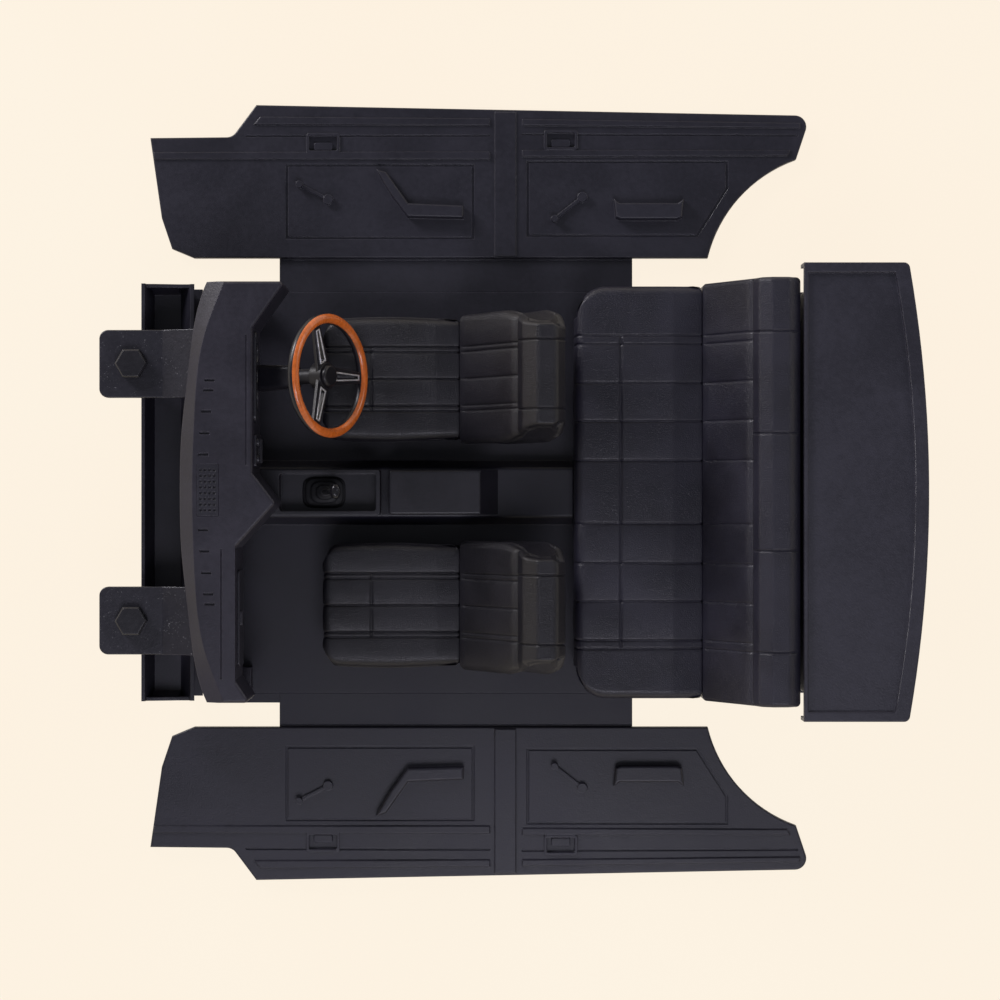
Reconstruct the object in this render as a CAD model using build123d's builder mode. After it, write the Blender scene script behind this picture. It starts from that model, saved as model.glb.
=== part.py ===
"""Cockpit interior for a 1/10 scale radio-controlled saloon car, right-hand drive, with fold-up door cards.

Millimetres. The car's nose points along -X, the driver sits on the +Y side and +Z is up.
The origin is under the middle of the object, on the surface the floor pan and the unfolded door cards lie on.
"""

import os
from math import cos, radians, sin

from build123d import *

os.makedirs("parts", exist_ok=True)

BASE = (Align.CENTER, Align.CENTER, Align.MIN)

# ---------------------------------------------------------------- driving dimensions
SHEET = 1.2  # wall of every moulded sheet part
GAP = 0.05  # clearance between parts that turn or drop into each other
TUB_HALF = 70.0  # floor pan, half width beside the dashboard and the bench
NOSE_X = -137.8  # front of the mounting brackets
TAIL_X = 137.8  # rear edge of the parcel shelf, on the centre line

FLOOR_FRONT, FLOOR_REAR = -113.6, 110.0
FLANGE_FRONT, FLANGE_REAR, FLANGE_HALF = -80.6, 42.6, 81.0
TUNNEL_TOP, TUNNEL_HALF_TOP, TUNNEL_HALF_BASE = 13.0, 8.6, 11.4
TUNNEL_FRONT, TUNNEL_REAR = -106.0, 21.5

SEAT_Y = 38.5  # centre line of a front seat
SEAT_FRONT, SEAT_REAR, SEAT_WIDTH = -64.0, -17.4, 43.0
SEAT_BASE_TOP, SEAT_TOP, BACK_WIDTH = 12.0, 24.5, 44.0

BENCH_FRONT, BENCH_REAR, BENCH_HALF, BENCH_TOP = 21.8, 65.2, 70.4, 26.0
BENCH_BACK_HALF = 71.0

SHELF_FRONT, SHELF_HALF, SHELF_CORNER_X = 96.6, 75.7, 131.2
SHELF_PLATE, SHELF_TOP, SHELF_BOTTOM = 48.0, 50.4, 40.8

DASH_BOTTOM, DASH_TOP, DASH_HALF, DASH_SLOPE = 24.0, 48.0, 69.7, 3.6
DRIVER_FACE_X, PASSENGER_FACE_X = -85.3, -91.1

CONSOLE_HALF, CONSOLE_TOP = 7.6, 23.4

WHEEL_CENTRE = (-60.0, 38.4, 48.0)
WHEEL_TILT = 57.0  # degrees between the steering axis and straight up
RIM_RADIUS, RIM_TUBE = 18.9, 1.6

BOLT_X, BOLT_Y, HEX_FLATS, HEX_HEIGHT = -126.8, 43.0, 9.3, 3.5
SHANK_RADIUS, STUD_RADIUS = 2.5, 2.4  # bolt inside its bracket, and its thread below the bracket
BRACKET_BOTTOM, BRACKET_TOP, BRACKET_WIDTH, STUD_END = 34.0, 37.0, 22.7, 24.0

CARD_THICK, CARD_EDGE = 3.0, 81.8  # unfolded door card, and its edge beside the fold


def save(piece, name):
    """Labels a finished piece and writes its STEP file."""
    piece.label = name
    export_step(piece, f"parts/{name}.step")


# ---------------------------------------------------------------- floor screws
SCREW_RADIUS, SCREW_HEAD, SCREW_LENGTH, SCREW_DRIVE = 1.0, 2.0, 5.6, 2.4
SEAT_SCREWS = [(x, side * SEAT_Y + y) for side in (1, -1) for x in (-56, -28) for y in (-14, 14)]
BENCH_SCREWS = [(x, y) for x in (33, 56) for y in (-48, 48)]
DASH_SCREWS = [(-93, 64), (-93, -64)]
NOSE_SCREWS = [(-109.8, 55), (-109.8, -55)]
TAIL_SCREWS = [(103.5, y) for y in (-58, -22, 22, 58)]
ALL_SCREWS = SEAT_SCREWS + BENCH_SCREWS + DASH_SCREWS + NOSE_SCREWS + TAIL_SCREWS

with BuildPart() as floor_screws:
    with Locations(*[(x, y, 0) for x, y in ALL_SCREWS]):
        Cone(SCREW_HEAD, SCREW_RADIUS, SCREW_HEAD - SCREW_RADIUS, align=BASE)
        Cylinder(SCREW_RADIUS, SCREW_LENGTH, align=BASE)
        Box(SCREW_DRIVE, 0.5, 0.5, align=BASE, mode=Mode.SUBTRACT)
        Box(0.5, SCREW_DRIVE, 0.5, align=BASE, mode=Mode.SUBTRACT)
save(floor_screws.part, "floor_screws")

# ---------------------------------------------------------------- floor pan with its tunnel
TUNNEL_SECTION = [
    (-TUNNEL_HALF_BASE, 0), (-TUNNEL_HALF_TOP, TUNNEL_TOP),
    (TUNNEL_HALF_TOP, TUNNEL_TOP), (TUNNEL_HALF_BASE, 0),
]
TUNNEL_HOLLOW = [
    (SHEET - TUNNEL_HALF_BASE, 0), (SHEET - TUNNEL_HALF_TOP, TUNNEL_TOP - SHEET),
    (TUNNEL_HALF_TOP - SHEET, TUNNEL_TOP - SHEET), (TUNNEL_HALF_BASE - SHEET, 0),
]
with BuildPart() as floor_pan:
    with BuildSketch():
        with Locations(((FLOOR_FRONT + FLOOR_REAR) / 2, 0)):
            Rectangle(FLOOR_REAR - FLOOR_FRONT, 2 * TUB_HALF)
    extrude(amount=SHEET)
    with BuildSketch(Plane.YZ.offset(TUNNEL_FRONT)):
        Polygon(TUNNEL_SECTION)
    extrude(amount=TUNNEL_REAR - TUNNEL_FRONT)
    ridge = floor_pan.edges().filter_by(Axis.X).group_by(Axis.Z)[-1]
    fillet(ridge, SHEET)
    with BuildSketch(Plane.YZ.offset(TUNNEL_FRONT + SHEET)):
        Polygon(TUNNEL_HOLLOW)
    extrude(amount=TUNNEL_REAR - TUNNEL_FRONT - 2 * SHEET, mode=Mode.SUBTRACT)
    with Locations(*[(x, y, 0) for x, y in ALL_SCREWS]):
        Cone(SCREW_HEAD + GAP, SCREW_RADIUS + GAP, SCREW_HEAD - SCREW_RADIUS, align=BASE, mode=Mode.SUBTRACT)
        Cylinder(SCREW_RADIUS + GAP, SHEET, align=BASE, mode=Mode.SUBTRACT)
save(floor_pan.part, "floor_pan")

FLANGE_X, FLANGE_LENGTH = (FLANGE_FRONT + FLANGE_REAR) / 2, FLANGE_REAR - FLANGE_FRONT
with BuildPart() as sill_flanges:
    for side in (1, -1):
        with Locations((FLANGE_X, side * (TUB_HALF + FLANGE_HALF) / 2, 0)):
            Box(FLANGE_LENGTH, FLANGE_HALF - TUB_HALF, SHEET, align=BASE)
save(sill_flanges.part, "sill_flanges")

TOE_FRONT, TOE_REAR, TOE_HALF = -104.0, FLANGE_FRONT, 73.4
with BuildPart() as toe_flanges:
    for side in (1, -1):
        with Locations(((TOE_FRONT + TOE_REAR) / 2, side * (TUB_HALF + TOE_HALF) / 2, 0)):
            Box(TOE_REAR - TOE_FRONT, TOE_HALF - TUB_HALF, SHEET, align=BASE)
save(toe_flanges.part, "toe_flanges")

# ---------------------------------------------------------------- folding strips beside the flanges
STRIP_LOW, STRIP_HIGH = 0.9, 1.2
with BuildPart() as right_fold_strip:
    with Locations((FLANGE_X, (FLANGE_HALF + CARD_EDGE) / 2, STRIP_LOW)):
        Box(FLANGE_LENGTH, CARD_EDGE - FLANGE_HALF, STRIP_HIGH - STRIP_LOW, align=BASE)
save(right_fold_strip.part, "right_fold_strip")

with BuildPart() as left_fold_strip:
    mirror(right_fold_strip.part, about=Plane.XZ)
save(left_fold_strip.part, "left_fold_strip")

# ---------------------------------------------------------------- front bulkhead: a trough on a foot
TROUGH_HALF, TROUGH_TOP, TROUGH_FLOOR = 70.9, 26.0, 14.0
TROUGH_SECTION = [
    (-125.3, TROUGH_TOP), (-123.4, TROUGH_FLOOR), (-113.6, TROUGH_FLOOR), (-113.6, SHEET),
    (-107.4, SHEET), (-107.4, 2 * SHEET), (-112.4, 2 * SHEET),
    (-112.4, TROUGH_FLOOR), (-107.6, 23.6), (-109.0, 23.6),
    (-113.2, TROUGH_FLOOR + SHEET), (-122.3, TROUGH_FLOOR + SHEET), (-124.1, TROUGH_TOP),
]
TROUGH_END_WALL = [
    (-124.6, 24.0), (-123.2, 14.2), (-113.0, 14.2), (-109.2, 22.4), (-113.0, 22.4), (-121.6, 24.0),
]
END_SLOPE = [
    (TROUGH_HALF, TROUGH_FLOOR), (TROUGH_HALF, 22.4), (67.9, TROUGH_FLOOR + SHEET), (67.9, TROUGH_FLOOR),
]
with BuildPart() as front_bulkhead:
    with BuildSketch(Plane.XZ):
        Polygon(TROUGH_SECTION)
    extrude(amount=TROUGH_HALF, both=True)
    with BuildSketch(Plane.XZ.offset(TROUGH_HALF - SHEET), Plane.XZ.offset(-TROUGH_HALF)):
        Polygon(TROUGH_END_WALL)
    extrude(amount=SHEET)
    # Sloping facet inside each end of the trough.
    with BuildSketch(Plane.YZ.offset(-122.6)):
        Polygon(END_SLOPE)
        Polygon([(-y, z) for y, z in END_SLOPE])
    extrude(amount=9.2)
    # Clearance beside each mounting stud.
    with Locations((BOLT_X, BOLT_Y, 17.5), (BOLT_X, -BOLT_Y, 17.5)):
        Box(9.0, 12.0, 12.0, align=BASE, mode=Mode.SUBTRACT)
    with Locations(*[(x, y, 0) for x, y in NOSE_SCREWS]):
        Cylinder(SCREW_RADIUS + GAP, 4.0, align=BASE, mode=Mode.SUBTRACT)
save(front_bulkhead.part, "front_bulkhead")

# ---------------------------------------------------------------- dashboard
NOSE_HALF = [
    (-109.7, 10.0), (-109.1, 21.6), (-107.9, 33.0), (-106.7, 43.8), (-105.3, 54.0), (-103.6, 62.0),
    (-100.8, DASH_HALF),
]
CREST_HALF = [
    (-105.1, 10.0), (-104.7, 21.5), (-104.1, 33.0), (-103.0, 43.6),
    (-101.1, 52.5), (-98.3, 60.5), (-94.0, 71.2),
]


def both_sides(half, middle):
    """Outline points from the driver's side, through the middle, to the passenger's side."""
    return half[::-1] + [(middle, 0)] + [(x, -y) for x, y in half]


NOSE = both_sides(NOSE_HALF, -109.8)
CREST = both_sides(CREST_HALF, -105.2)
NOSE_FOOT = [(x - 0.25, y * 1.02) for x, y in NOSE]
DASH_CABIN_EDGE = [
    NOSE[-1], (-86.0, -DASH_HALF), (PASSENGER_FACE_X, -62.0), (PASSENGER_FACE_X, -18.5),
    (-77.6, -3.6), (DRIVER_FACE_X, 6.3), (DRIVER_FACE_X, 54.2), (-74.3, DASH_HALF), NOSE[0],
]
DASH_HOLLOW = [(x + 1.7, y * 0.98) for x, y in NOSE] + [
    (-87.3, -68.4), (PASSENGER_FACE_X - 1.3, -61.6), (PASSENGER_FACE_X - 1.3, -18.0), (-79.4, -3.5),
    (DRIVER_FACE_X - 1.3, 6.0), (DRIVER_FACE_X - 1.3, 54.6), (-76.6, 68.4),
]
DASH_ROOF, CUT_X = 4.6, -120.0
with BuildSketch() as dash_plan:
    with BuildLine():
        Polyline(*DASH_CABIN_EDGE)
        Spline(*NOSE)
    make_face()

# Everything in front of the sloping facet below the windscreen.
with BuildPart() as windscreen_slope:
    with BuildSketch(Plane.XY.offset(DASH_TOP - DASH_SLOPE)):
        with BuildLine():
            Spline(*NOSE_FOOT)
            Polyline(NOSE_FOOT[-1], (CUT_X, NOSE_FOOT[-1][1]), (CUT_X, NOSE_FOOT[0][1]), NOSE_FOOT[0])
        make_face()
    with BuildSketch(Plane.XY.offset(DASH_TOP)):
        with BuildLine():
            Spline(*CREST)
            Polyline(CREST[-1], (CUT_X, CREST[-1][1]), (CUT_X, CREST[0][1]), CREST[0])
        make_face()
    loft(ruled=True)

COLUMN_AXIS = (sin(radians(WHEEL_TILT)), 0, cos(radians(WHEEL_TILT)))
wheel_plane = Plane(origin=WHEEL_CENTRE, x_dir=(0, 1, 0), z_dir=COLUMN_AXIS)
COLUMN_RADIUS, COLUMN_START = 2.6, -36.0
VENTS = [(-101.9 + (y / 24) ** 2, side * y) for side in (1, -1) for y in (12.5, 19.5, 26.7, 33.7, 37.0)]
CHEEK_X, CHEEK_LENGTH, CHEEK_FOOT = -95.6, 11.0, 9.0

with BuildPart() as dashboard:
    with BuildSketch(Plane.XY.offset(DASH_BOTTOM)):
        add(dash_plan.sketch)
    extrude(amount=DASH_TOP - DASH_BOTTOM)
    uprights = dashboard.edges().filter_by(Axis.Z)
    cabin_uprights = uprights.filter_by(lambda edge: edge.center().X > PASSENGER_FACE_X + 0.5)
    fillet(cabin_uprights, 1.2)
    crest = dashboard.edges().group_by(Axis.Z)[-1].filter_by(lambda e: e.center().X > PASSENGER_FACE_X + 0.5)
    fillet(crest, 1.1)
    add(windscreen_slope.part, mode=Mode.SUBTRACT)
    with BuildSketch(Plane.XY.offset(DASH_BOTTOM)):
        Polygon(DASH_HOLLOW)
    extrude(amount=DASH_TOP - DASH_BOTTOM - DASH_ROOF, mode=Mode.SUBTRACT)
    # Side cheeks standing on the floor pan.
    for side in (1, -1):
        with Locations((CHEEK_X, side * (DASH_HALF - SHEET / 2), SHEET)):
            Box(CHEEK_LENGTH, SHEET, DASH_TOP - 6, align=BASE)
        with Locations((CHEEK_X, side * (DASH_HALF - CHEEK_FOOT / 2), SHEET)):
            Box(CHEEK_LENGTH, CHEEK_FOOT, SCREW_LENGTH, align=BASE)
    # Grooves of the padded roll along both cabin edges.
    passenger_roll = (PASSENGER_FACE_X - 4.6, -40.3, DASH_TOP - 0.5)
    driver_roll = (DRIVER_FACE_X - 2.2, 30.5, DASH_TOP - 0.3)
    with Locations(passenger_roll, driver_roll):
        Box(0.5, 43.0, 1.0, align=BASE, mode=Mode.SUBTRACT)
    # Demister slots.
    with Locations(*[(x, y, DASH_TOP - 0.8) for x, y in VENTS]):
        Box(3.3, 0.9, 3.0, align=BASE, mode=Mode.SUBTRACT)
    # Seat for the speaker grille.
    with Locations((-100.2, 0.7, DASH_TOP - 0.9)):
        Box(7.2, 17.2, 3.0, align=BASE, mode=Mode.SUBTRACT)
    with BuildSketch(wheel_plane.offset(COLUMN_START)):
        Circle(COLUMN_RADIUS + GAP)
    extrude(amount=20, mode=Mode.SUBTRACT)
    with Locations(*[(x, y, 0) for x, y in DASH_SCREWS]):
        Cylinder(SCREW_RADIUS + GAP, SCREW_LENGTH, align=BASE, mode=Mode.SUBTRACT)
save(dashboard.part, "dashboard")

with BuildPart() as speaker_grille:
    with Locations((-100.2, 0.7, DASH_TOP - 0.9)):
        Box(7.1, 17.1, 1.0, align=BASE)
    with Locations((-100.2, 0.7, DASH_TOP - 0.5)):
        with GridLocations(1.5, 1.9, 4, 8):
            Cylinder(0.45, 1.0, align=BASE, mode=Mode.SUBTRACT)
save(speaker_grille.part, "speaker_grille")

# ---------------------------------------------------------------- panels on the dashboard's faces
PANEL = 0.8
with BuildPart() as instrument_panel:
    with BuildSketch(Plane.YZ.offset(DRIVER_FACE_X)):
        with Locations((WHEEL_CENTRE[1], 41.0)):
            RectangleRounded(30.0, 8.6, 2.0)
    extrude(amount=PANEL)
    with BuildSketch(Plane.YZ.offset(DRIVER_FACE_X + PANEL / 2)):
        with Locations((WHEEL_CENTRE[1], 41.0)):
            with GridLocations(15.6, 1, 2, 1):
                Circle(3.5)
            Circle(2.2)
    extrude(amount=PANEL, mode=Mode.SUBTRACT)
save(instrument_panel.part, "instrument_panel")

with BuildPart() as heater_panel:
    with BuildSketch(Plane.YZ.offset(DRIVER_FACE_X)):
        with Locations((13.8, 36.0)):
            RectangleRounded(11.0, 16.0, 1.0)
    extrude(amount=PANEL)
    with BuildSketch(Plane.YZ.offset(DRIVER_FACE_X + PANEL)):
        with Locations((11.0, 40.6), (16.6, 40.6)):
            Circle(1.5)
        with Locations((13.8, 35.8), (13.8, 33.4), (13.8, 31.0)):
            Rectangle(8.0, 0.9)
    extrude(amount=PANEL)
save(heater_panel.part, "heater_panel")

with BuildPart() as glovebox_lid:
    with BuildSketch(Plane.YZ.offset(PASSENGER_FACE_X)):
        with Locations((-42.0, 35.0)):
            RectangleRounded(32.0, 13.0, 1.2)
    extrude(amount=PANEL)
    with BuildSketch(Plane.YZ.offset(PASSENGER_FACE_X + PANEL)):
        with Locations((-42.0, 39.0)):
            RectangleRounded(5.0, 1.8, 0.6)
    extrude(amount=PANEL)
save(glovebox_lid.part, "glovebox_lid")

# ---------------------------------------------------------------- steering column and wheel
HUB_BACK, HUB_FACE, PEG_RADIUS, PEG_END = -5.2, -0.6, 1.2, -1.8
with BuildPart() as steering_column:
    with BuildSketch(wheel_plane.offset(COLUMN_START)):
        Circle(COLUMN_RADIUS)
    extrude(amount=HUB_BACK - 0.3 - COLUMN_START)
    with BuildSketch(wheel_plane.offset(COLUMN_START)):
        Circle(PEG_RADIUS)
    extrude(amount=PEG_END - COLUMN_START)
save(steering_column.part, "steering_column")

SHROUD_START, SHROUD_LENGTH = -30.0, 16.0
with BuildPart() as column_shroud:
    with BuildSketch(wheel_plane.offset(SHROUD_START)):
        RectangleRounded(9.0, 7.6, 1.6)
    with BuildSketch(wheel_plane.offset(SHROUD_START + SHROUD_LENGTH)):
        RectangleRounded(7.4, 6.4, 1.4)
    loft()
    with BuildSketch(wheel_plane.offset(SHROUD_START)):
        Circle(COLUMN_RADIUS + GAP)
    extrude(amount=SHROUD_LENGTH, mode=Mode.SUBTRACT)
    split(bisect_by=Plane.YZ.offset(DRIVER_FACE_X + PANEL), keep=Keep.TOP)
save(column_shroud.part, "column_shroud")

RIM_SPLIT = 0.4  # the coloured half of the rim starts this far above its centre plane
BACK_RING, BACK_RING_DROP = 1.75, -0.45  # section radius of the black half, and where its centre lies
SPOKE_ANGLES, SPOKE_DISH, SPOKE_DROP, SPOKE_THICK = (24, 156, 270), 6.0, -2.7, 1.1
SPOKE = [(0, -3.6), (0, 3.6), (RIM_RADIUS - 0.7, 1.7), (RIM_RADIUS - 0.7, -1.7)]
SLOT = [(5.4, -1.1), (5.4, 1.1), (16.0, 0.5), (16.0, -0.5)]
SLOT_FRAME = [(4.9, -1.6), (4.9, 1.6), (16.5, 0.95), (16.5, -0.95)]
spoke_planes = [
    Plane(wheel_plane.offset(SPOKE_DROP) * Rotation(0, 0, angle) * Rotation(0, -SPOKE_DISH, 0))
    for angle in SPOKE_ANGLES
]
trim_planes = [plane.offset(SPOKE_THICK) for plane in spoke_planes]

with BuildPart() as steering_wheel_frame:
    with Locations(wheel_plane.offset(BACK_RING_DROP)):
        Torus(RIM_RADIUS, BACK_RING)
    split(bisect_by=wheel_plane.offset(RIM_SPLIT), keep=Keep.BOTTOM)
    with BuildSketch(*spoke_planes):
        Polygon(SPOKE)
    extrude(amount=SPOKE_THICK)
    with BuildSketch(*spoke_planes):
        Polygon(SLOT)
    extrude(amount=SPOKE_THICK, mode=Mode.SUBTRACT)
    with BuildSketch(wheel_plane.offset(HUB_BACK)):
        Circle(4.4)
    extrude(amount=HUB_FACE - HUB_BACK)
    with BuildSketch(wheel_plane.offset(HUB_BACK)):
        Circle(PEG_RADIUS + GAP)
    extrude(amount=PEG_END + 0.3 - HUB_BACK, mode=Mode.SUBTRACT)
save(steering_wheel_frame.part, "steering_wheel_frame")

with BuildPart() as steering_wheel_rim:
    with Locations(wheel_plane):
        Torus(RIM_RADIUS, RIM_TUBE)
    split(bisect_by=wheel_plane.offset(RIM_SPLIT), keep=Keep.TOP)
save(steering_wheel_rim.part, "steering_wheel_rim")

with BuildPart() as spoke_trims:
    with BuildSketch(*trim_planes):
        Polygon(SLOT_FRAME)
        Polygon(SLOT, mode=Mode.SUBTRACT)
    extrude(amount=0.3)
    with BuildSketch(wheel_plane.offset(HUB_BACK)):
        Circle(4.4)
    extrude(amount=HUB_FACE - HUB_BACK, mode=Mode.SUBTRACT)
save(spoke_trims.part, "spoke_trims")

with BuildPart() as horn_pad:
    with BuildSketch(wheel_plane.offset(HUB_FACE)):
        Circle(3.6)
    extrude(amount=1.5)
    fillet(horn_pad.faces().sort_by(lambda f: f.center().X)[-1].edges(), 0.8)
save(horn_pad.part, "horn_pad")

# ---------------------------------------------------------------- centre console
TRAY_FRONT, TRAY_REAR, TRAY_FLOOR = -92.0, -44.5, 16.4
with BuildPart() as console_tray:
    with Locations(((TRAY_FRONT + TRAY_REAR) / 2, 0, TUNNEL_TOP)):
        Box(TRAY_REAR - TRAY_FRONT, 2 * CONSOLE_HALF, CONSOLE_TOP - TUNNEL_TOP, align=BASE)
    fillet(console_tray.edges().filter_by(Axis.Z), 1.0)
    with BuildSketch(Plane.XY.offset(TRAY_FLOOR)):
        with Locations((-62.3, 0)):
            RectangleRounded(33.0, 2 * CONSOLE_HALF - 2 * SHEET, 1.0)
    extrude(amount=CONSOLE_TOP, mode=Mode.SUBTRACT)
save(console_tray.part, "console_tray")

BOOT_X = -64.0
with BuildPart() as gear_boot:
    with BuildSketch(Plane.XY.offset(TRAY_FLOOR)):
        with Locations((BOOT_X, 0)):
            RectangleRounded(15.6, 11.6, 2.0)
    with BuildSketch(Plane.XY.offset(TRAY_FLOOR + 6.0)):
        with Locations((BOOT_X + 0.8, 0)):
            RectangleRounded(4.0, 3.6, 1.2)
    loft()
save(gear_boot.part, "gear_boot")

LEVER_START, LEVER_END = (BOOT_X, 0, 20.0), (-58.8, 0.3, 37.0)
lever_plane = Plane(origin=LEVER_START, z_dir=Vector(*LEVER_END) - Vector(*LEVER_START))
LEVER_LENGTH = (Vector(*LEVER_END) - Vector(*LEVER_START)).length
with BuildPart() as gear_lever:
    with BuildSketch(lever_plane):
        Circle(0.9)
    extrude(amount=LEVER_LENGTH)
    add(gear_boot.part, mode=Mode.SUBTRACT)
save(gear_lever.part, "gear_lever")

with BuildPart() as gear_knob:
    with Locations(lever_plane.offset(LEVER_LENGTH)):
        Sphere(2.7)
    add(gear_lever.part, mode=Mode.SUBTRACT)
save(gear_knob.part, "gear_knob")

BOX_SIDE = [(-41.5, TUNNEL_TOP), (-41.5, CONSOLE_TOP), (-10.4, CONSOLE_TOP), (-4.3, TUNNEL_TOP)]
with BuildPart() as console_box:
    with BuildSketch(Plane.XZ):
        Polygon(BOX_SIDE)
    extrude(amount=CONSOLE_HALF, both=True)
    fillet(console_box.edges().filter_by(Axis.Z), 1.0)
    fillet(console_box.faces().sort_by(Axis.Z)[-1].edges(), 0.8)
save(console_box.part, "console_box")

# ---------------------------------------------------------------- front seats
PLEATS = (-10.9, -9.1, 0.0, 9.1, 10.9)
BACK_SIDE = [
    (SEAT_REAR, 9.0), (SEAT_REAR, 24.0), (2.6, 52.0), (4.6, 57.0), (9.0, 61.5), (15.0, 61.0), (18.2, 56.0),
    (17.5, 50.0), (-2.0, 9.0),
]
BACK_PLEAT = [
    (SEAT_REAR - 1, 25.5), (-2.6, 45.0), (2.4, 52.0), (4.0, 57.5), (8.6, 62.2), (14.0, 62.2), (14.0, 60.6),
    (9.4, 60.8), (5.2, 56.7), (3.3, 51.7), (SEAT_REAR + 0.4, 24.1), (SEAT_REAR - 1, 24.1),
]
with BuildPart() as driver_seat_base:
    with BuildSketch(Plane.XY.offset(SHEET)):
        with Locations((-42.0, SEAT_Y)):
            RectangleRounded(38.0, 37.0, 2.0)
    extrude(amount=SEAT_BASE_TOP - SHEET)
    with Locations(*[(x, y, SHEET) for x, y in SEAT_SCREWS]):
        Cylinder(SCREW_RADIUS + GAP, SCREW_LENGTH, align=BASE, mode=Mode.SUBTRACT)
save(driver_seat_base.part, "driver_seat_base")

with BuildPart() as driver_seat_cushion:
    with Locations(((SEAT_FRONT + SEAT_REAR) / 2, SEAT_Y, SEAT_BASE_TOP)):
        Box(SEAT_REAR - SEAT_FRONT, SEAT_WIDTH, SEAT_TOP - SEAT_BASE_TOP, align=BASE)
    front_uprights = driver_seat_cushion.edges().filter_by(Axis.Z).group_by(Axis.X)[0]
    fillet(front_uprights, 4.0)
    cushion_rim = driver_seat_cushion.faces().sort_by(Axis.Z)[-1].edges()
    fillet(cushion_rim.filter_by(lambda e: e.center().X < SEAT_REAR - 1), 2.5)
    with Locations(*[(-40.0, SEAT_Y + y, SEAT_TOP - 0.6) for y in PLEATS]):
        Box(44.0, 0.5, 1.0, align=BASE, mode=Mode.SUBTRACT)
    with Locations((-49.8, SEAT_Y, SEAT_TOP - 0.6)):
        Box(0.5, SEAT_WIDTH - 6, 1.0, align=BASE, mode=Mode.SUBTRACT)
save(driver_seat_cushion.part, "driver_seat_cushion")

with BuildPart() as driver_seat_back:
    with BuildSketch(Plane.XZ.offset(-SEAT_Y)) as back_section:
        Polygon(BACK_SIDE)
        rolled = back_section.vertices().filter_by(lambda v: v.Y > 26)
        fillet(rolled, 2.4)
    extrude(amount=BACK_WIDTH / 2, both=True)
    # The back narrows from the shoulders to the top of the roll.
    for side in (1, -1):
        with BuildSketch(Plane.YZ.offset(-30)):
            with Locations((SEAT_Y, 0)):
                Polygon([(side * 22.3, 44.0), (side * 16.6, 62.5), (side * 23.0, 62.5)])
        extrude(amount=60, mode=Mode.SUBTRACT)
    with BuildSketch(*[Plane.XZ.offset(-SEAT_Y - y - 0.25) for y in PLEATS]):
        Polygon(BACK_PLEAT)
    extrude(amount=0.5, mode=Mode.SUBTRACT)
save(driver_seat_back.part, "driver_seat_back")

with BuildPart() as passenger_seat_base:
    mirror(driver_seat_base.part, about=Plane.XZ)
save(passenger_seat_base.part, "passenger_seat_base")

with BuildPart() as passenger_seat_cushion:
    mirror(driver_seat_cushion.part, about=Plane.XZ)
save(passenger_seat_cushion.part, "passenger_seat_cushion")

with BuildPart() as passenger_seat_back:
    mirror(driver_seat_back.part, about=Plane.XZ)
save(passenger_seat_back.part, "passenger_seat_back")

# ---------------------------------------------------------------- rear bench
BENCH_PLEATS = [side * y for side in (1, -1) for y in (10.7, 24.1, 37.1, 50.3, 53.2)]
with BuildPart() as rear_bench_cushion:
    with Locations(((BENCH_FRONT + BENCH_REAR) / 2, 0, SHEET)):
        Box(BENCH_REAR - BENCH_FRONT, 2 * BENCH_HALF, BENCH_TOP - SHEET, align=BASE)
    bench_corners = rear_bench_cushion.edges().filter_by(Axis.Z).group_by(Axis.X)[0]
    fillet(bench_corners, 10.0)
    bench_rim = rear_bench_cushion.faces().sort_by(Axis.Z)[-1].edges()
    fillet(bench_rim.filter_by(lambda e: e.center().X < BENCH_REAR - 1), 3.0)
    with Locations(*[(BENCH_REAR - 20.0, y, BENCH_TOP - 0.6) for y in BENCH_PLEATS]):
        Box(41.0, 0.5, 1.0, align=BASE, mode=Mode.SUBTRACT)
    with Locations((36.1, 0, BENCH_TOP - 0.6)):
        Box(0.5, 2 * 53.2, 1.0, align=BASE, mode=Mode.SUBTRACT)
    with Locations(*[(x, y, SHEET) for x, y in BENCH_SCREWS]):
        Cylinder(SCREW_RADIUS + GAP, SCREW_LENGTH, align=BASE, mode=Mode.SUBTRACT)
save(rear_bench_cushion.part, "rear_bench_cushion")

BENCH_SIDE = [
    (BENCH_REAR, SHEET), (BENCH_REAR, 24.0), (80.2, 45.0), (82.0, 49.4), (86.0, 51.6), (92.0, 51.4),
    (96.2, 48.0), (94.6, 42.0), (78.0, SHEET),
]
BENCH_BACK_PLEAT = [
    (BENCH_REAR - 1, 26.0), (79.4, 45.8), (80.6, 44.6), (BENCH_REAR + 0.6, 24.0), (BENCH_REAR - 1, 24.0),
]
ROLL_SEAM = [
    (78.6, 45.4), (81.2, 50.2), (85.6, 52.6), (91.0, 52.6),
    (91.0, 50.9), (86.2, 51.0), (82.6, 48.9), (80.6, 44.4),
]
with BuildPart() as rear_bench_back:
    with BuildSketch(Plane.XZ) as bench_section:
        Polygon(BENCH_SIDE)
        bench_rolled = bench_section.vertices().filter_by(lambda v: v.Y > 40)
        fillet(bench_rolled, 2.2)
    extrude(amount=BENCH_BACK_HALF, both=True)
    bench_flanks = rear_bench_back.faces().filter_by(Axis.Y).edges().filter_by(lambda e: e.center().Z > 26)
    fillet(bench_flanks, 1.4)
    with BuildSketch(*[Plane.XZ.offset(y - 0.25) for y in BENCH_PLEATS]):
        Polygon(BENCH_BACK_PLEAT)
    extrude(amount=0.5, mode=Mode.SUBTRACT)
    with BuildSketch(*[Plane.XZ.offset(y - 0.25) for y in (-52.8, -21.5, 21.5, 52.8)]):
        Polygon(ROLL_SEAM)
    extrude(amount=0.5, mode=Mode.SUBTRACT)
save(rear_bench_back.part, "rear_bench_back")

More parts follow.
